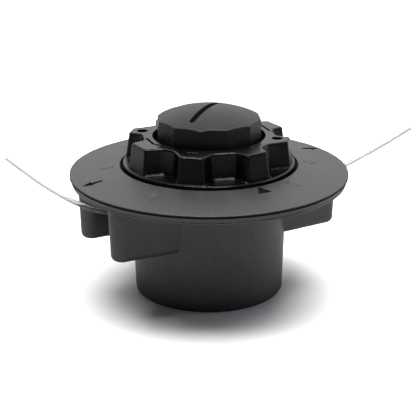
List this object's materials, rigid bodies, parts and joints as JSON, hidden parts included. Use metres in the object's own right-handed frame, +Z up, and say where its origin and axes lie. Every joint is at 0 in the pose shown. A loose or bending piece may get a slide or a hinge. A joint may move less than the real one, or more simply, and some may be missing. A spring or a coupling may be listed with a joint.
{
  "type": "bump feed trimmer head",
  "caption": "Bump feed line trimmer head: dark moulded flange on a cylindrical collar, lobed twist knob, domed bump cap with a coin slot, and cutting line out at opposite sides.",
  "frame": {"origin": "centre of the collar's foot, on the head's axis", "axes": "+Z up the axis towards the bump cap, +X to the right and +Y away from the viewer as in the picture"},
  "size_m": [0.1645, 0.11, 0.0747],
  "materials": {
    "black_nylon": "matt, lightly grained",
    "knob_nylon": "satin",
    "cap_nylon": "satin",
    "spool_plastic": "satin",
    "clear_line": "clear, glossy",
    "eyelet_metal": "satin",
    "steel": "zinc plated",
    "spring_steel": "oiled"
  },
  "bodies": {
    "head": {"housing": "black_nylon", "cover_plate": "black_nylon", "line_eyelet_left": "eyelet_metal", "line_eyelet_right": "eyelet_metal", "arbor": "steel", "arbor_retaining_ring": "spring_steel", "ratchet_disc": "steel", "ratchet_disc_washer": "steel", "ratchet_disc_screw": "spring_steel", "spring_seat": "steel", "line_end_left": "clear_line", "line_end_right": "clear_line"},
    "spring_carrier": {"thrust_washer": "steel", "bump_spring": "spring_steel"},
    "spool": {"spool": "spool_plastic", "line_winding_lower": "clear_line", "line_winding_upper": "clear_line", "twist_knob": "knob_nylon", "bump_cap": "cap_nylon"}
  },
  "joints": [
    {"name": "bump", "type": "slide", "parent": "head", "child": "spring_carrier", "axis": [0, 0, -1], "range_m": [0, 0.005], "stiffness_N_per_m": 1500, "springref_m": -0.006, "deforming": ["bump_spring"]},
    {"name": "spool_turn", "type": "hinge", "parent": "spring_carrier", "child": "spool", "pos_m": [0, 0, 0.04], "axis": [0, 0, 1], "continuous": true}
  ]
}
